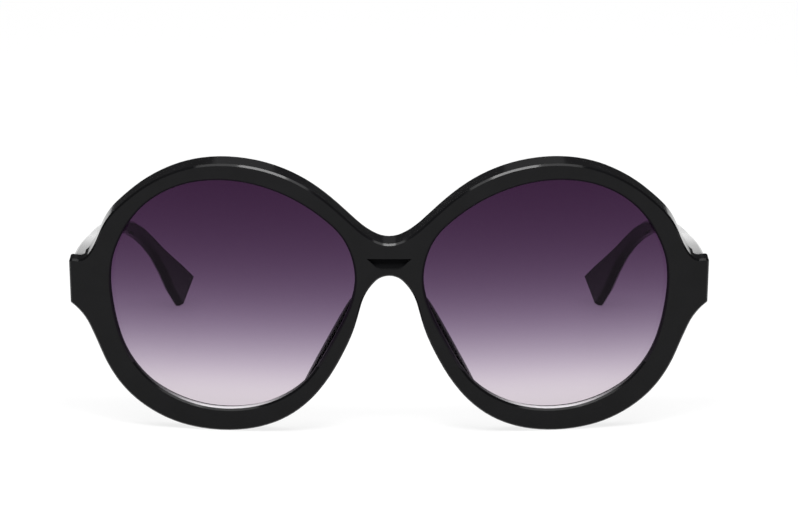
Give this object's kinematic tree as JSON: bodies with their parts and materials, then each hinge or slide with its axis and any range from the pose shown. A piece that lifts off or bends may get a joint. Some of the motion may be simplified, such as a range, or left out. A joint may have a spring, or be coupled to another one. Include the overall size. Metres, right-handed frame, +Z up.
{
  "type": "sunglasses",
  "caption": "Oversized round sunglasses with gradient lenses in a thick bent front, a wedge recess on the bridge, and temples that fold on knuckle hinges.",
  "frame": {"origin": "on the table, under the middle of the box round the open sunglasses", "axes": "+X towards the wearer's left, +Y to the back along the temples, +Z up"},
  "size_m": [0.149, 0.155, 0.0664],
  "materials": {
    "black_frame": "polished black acetate",
    "tinted_lens": "polished, violet-grey tint that fades downwards",
    "steel": "satin"
  },
  "bodies": {
    "front": {"front_frame": "black_frame", "left_front_hinge_leaf": "steel", "left_hinge_screw": "steel", "left_lens": "tinted_lens", "left_nose_pad": "black_frame", "right_front_hinge_leaf": "steel", "right_hinge_screw": "steel", "right_lens": "tinted_lens", "right_nose_pad": "black_frame"},
    "left_arm": {"left_temple": "black_frame", "left_temple_hinge_leaf": "steel", "left_leaf_screws": "steel", "left_core_wire": "steel"},
    "right_arm": {"right_temple": "black_frame", "right_temple_hinge_leaf": "steel", "right_leaf_screws": "steel", "right_core_wire": "steel"}
  },
  "joints": [
    {"name": "left_temple_fold", "type": "hinge", "parent": "front", "child": "left_arm", "pos_m": [0.0692, -0.05504, 0.03613], "axis": [0, 0, 1], "range_deg": [0, 84]},
    {"name": "right_temple_fold", "type": "hinge", "parent": "front", "child": "right_arm", "pos_m": [-0.0692, -0.05504, 0.03613], "axis": [0, 0, -1], "range_deg": [0, 79]}
  ]
}
